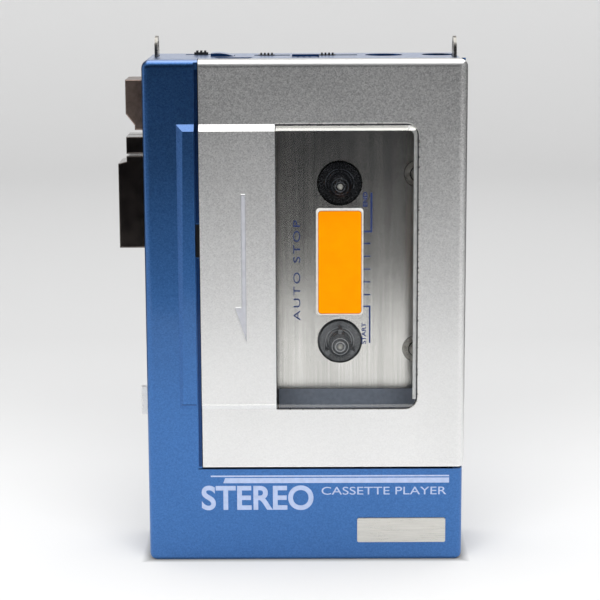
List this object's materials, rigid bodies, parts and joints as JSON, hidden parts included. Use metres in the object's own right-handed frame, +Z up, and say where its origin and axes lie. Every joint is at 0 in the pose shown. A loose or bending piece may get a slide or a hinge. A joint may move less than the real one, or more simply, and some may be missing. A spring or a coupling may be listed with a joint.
{
  "type": "portable cassette player",
  "caption": "Pocket stereo cassette player: two-tone metal case, hinged windowed door over a splined-spindle deck, side piano keys, top sockets and slides, strap lugs.",
  "frame": {"origin": "middle of the bottom face of the case, half-way through its thickness", "axes": "+Z up along the case's long side, -Y out of the front with the cassette door, +X to the door's hinge side (the keys are at -X)"},
  "size_m": [0.0904, 0.0301, 0.1377],
  "materials": {
    "blue_metal": "satin metallic",
    "silver_metal": "fine satin",
    "clear_window": "gloss",
    "steel": "brushed",
    "chrome": "polished",
    "black_plastic": "matt",
    "grey_plastic": "matt",
    "white_plastic": "gloss",
    "orange_paint": "satin",
    "rubber": "matt",
    "brass": "turned",
    "board": "lacquered",
    "cell_wrap": "gloss"
  },
  "bodies": {
    "case": {"front_frame": "blue_metal", "rear_case": "blue_metal", "door_hinge_pins": "steel", "name_badge": "silver_metal", "strap_lugs": "steel", "case_screws": "steel", "deck_plate": "steel", "deck_panel": "orange_paint", "deck_screws": "steel", "reel_posts": "steel", "chassis_plate": "steel", "capstan_bearing": "brass", "thrust_plate": "steel", "idler_post": "steel", "motor": "steel", "drive_belt": "rubber", "key_frame": "black_plastic", "key_guide": "steel", "stop_spring": "steel", "rewind_spring": "steel", "fast_forward_spring": "steel", "play_spring": "steel", "volume_pots": "grey_plastic", "tone_switch": "grey_plastic", "talk_switch": "black_plastic", "microphone": "silver_metal", "tape_switch": "black_plastic", "headphone_jacks": "black_plastic", "power_jack": "black_plastic", "circuit_board": "board", "board_parts": "black_plastic", "battery_tray": "black_plastic", "battery_cells": "cell_wrap", "battery_contacts": "steel"},
    "door": {"cassette_door": "silver_metal", "door_window": "clear_window", "door_catch": "black_plastic", "cassette_springs": "steel"},
    "stop": {"stop_key": "chrome"},
    "rewind": {"rewind_key": "chrome"},
    "fast_forward": {"fast_forward_key": "chrome"},
    "play": {"play_key": "chrome"},
    "head": {"head_base": "steel", "playback_head": "chrome", "head_screws": "steel", "tape_guide": "white_plastic"},
    "roller": {"pinch_roller": "rubber"},
    "capstan": {"capstan_shaft": "steel", "flywheel": "brass", "drive_pinion": "rubber"},
    "idler": {"idler_wheel": "rubber"},
    "supply": {"supply_spindle": "grey_plastic"},
    "take_up": {"take_up_spindle": "grey_plastic"},
    "pulley": {"motor_pulley": "brass"},
    "volume_left": {"volume_slide_left": "black_plastic"},
    "volume_right": {"volume_slide_right": "black_plastic"},
    "tone": {"tone_slide": "black_plastic"},
    "tape_selector": {"tape_slide": "silver_metal"},
    "talk": {"talk_button": "blue_metal"},
    "battery_lid": {"battery_cover": "blue_metal"}
  },
  "joints": [
    {"name": "door_hinge", "type": "hinge", "parent": "case", "child": "door", "pos_m": [0.03955, -0.01185, 0.079], "axis": [0, 0, 1], "range_deg": [0, 80]},
    {"name": "stop_press", "type": "slide", "parent": "case", "child": "stop", "axis": [1, 0, 0], "range_m": [0, 0.0032], "stiffness_N_per_m": 250, "springref_m": -0.002, "deforming": ["stop_spring"]},
    {"name": "rewind_press", "type": "slide", "parent": "case", "child": "rewind", "axis": [1, 0, 0], "range_m": [0, 0.0032], "stiffness_N_per_m": 250, "springref_m": -0.002, "deforming": ["rewind_spring"]},
    {"name": "fast_forward_press", "type": "slide", "parent": "case", "child": "fast_forward", "axis": [1, 0, 0], "range_m": [0, 0.0032], "stiffness_N_per_m": 250, "springref_m": -0.002, "deforming": ["fast_forward_spring"]},
    {"name": "play_press", "type": "slide", "parent": "case", "child": "play", "axis": [1, 0, 0], "range_m": [0, 0.0045], "stiffness_N_per_m": 250, "springref_m": -0.002, "deforming": ["play_spring"]},
    {"name": "head_advance", "type": "slide", "parent": "case", "child": "head", "axis": [1, 0, 0], "range_m": [0, 0.0045]},
    {"name": "pinch_roller_spin", "type": "hinge", "parent": "head", "child": "roller", "pos_m": [-0.0302, 0, 0.049], "axis": [0, 1, 0], "continuous": true},
    {"name": "capstan_spin", "type": "hinge", "parent": "case", "child": "capstan", "pos_m": [-0.0194, 0, 0.049], "axis": [0, 1, 0], "continuous": true},
    {"name": "motor_spin", "type": "hinge", "parent": "case", "child": "pulley", "pos_m": [0.026, 0, 0.0779], "axis": [0, 1, 0], "continuous": true},
    {"name": "idler_spin", "type": "hinge", "parent": "case", "child": "idler", "pos_m": [-0.00841, 0, 0.05194], "axis": [0, 1, 0], "continuous": true},
    {"name": "take_up_spin", "type": "hinge", "parent": "case", "child": "take_up", "pos_m": [0.00935, 0, 0.0567], "axis": [0, 1, 0], "continuous": true},
    {"name": "supply_spin", "type": "hinge", "parent": "case", "child": "supply", "pos_m": [0.00935, 0, 0.0992], "axis": [0, 1, 0], "continuous": true},
    {"name": "volume_left_slide", "type": "slide", "parent": "case", "child": "volume_left", "axis": [1, 0, 0], "range_m": [-0.0008, 0.004]},
    {"name": "volume_right_slide", "type": "slide", "parent": "case", "child": "volume_right", "axis": [1, 0, 0], "range_m": [-0.0003, 0.0054]},
    {"name": "tone_select", "type": "slide", "parent": "case", "child": "tone", "axis": [1, 0, 0], "range_m": [-0.0021, 0.0008]},
    {"name": "tape_select", "type": "slide", "parent": "case", "child": "tape_selector", "axis": [0, 0, 1], "range_m": [-0.0014, 0.0012]},
    {"name": "talk_press", "type": "slide", "parent": "case", "child": "talk", "axis": [0, 0, -1], "range_m": [0, 0.0008], "stiffness_N_per_m": 250, "springref_m": -0.0006},
    {"name": "battery_cover_slide", "type": "slide", "parent": "case", "child": "battery_lid", "axis": [0, 0, -1], "range_m": [0, 0.006]}
  ],
  "couplings": [
    {"joint": "head_advance", "follows": "play_press", "ratio": 1},
    {"joint": "motor_spin", "follows": "capstan_spin", "ratio": 4.5161},
    {"joint": "idler_spin", "follows": "capstan_spin", "ratio": -0.5648},
    {"joint": "take_up_spin", "follows": "capstan_spin", "ratio": 0.3636}
  ]
}
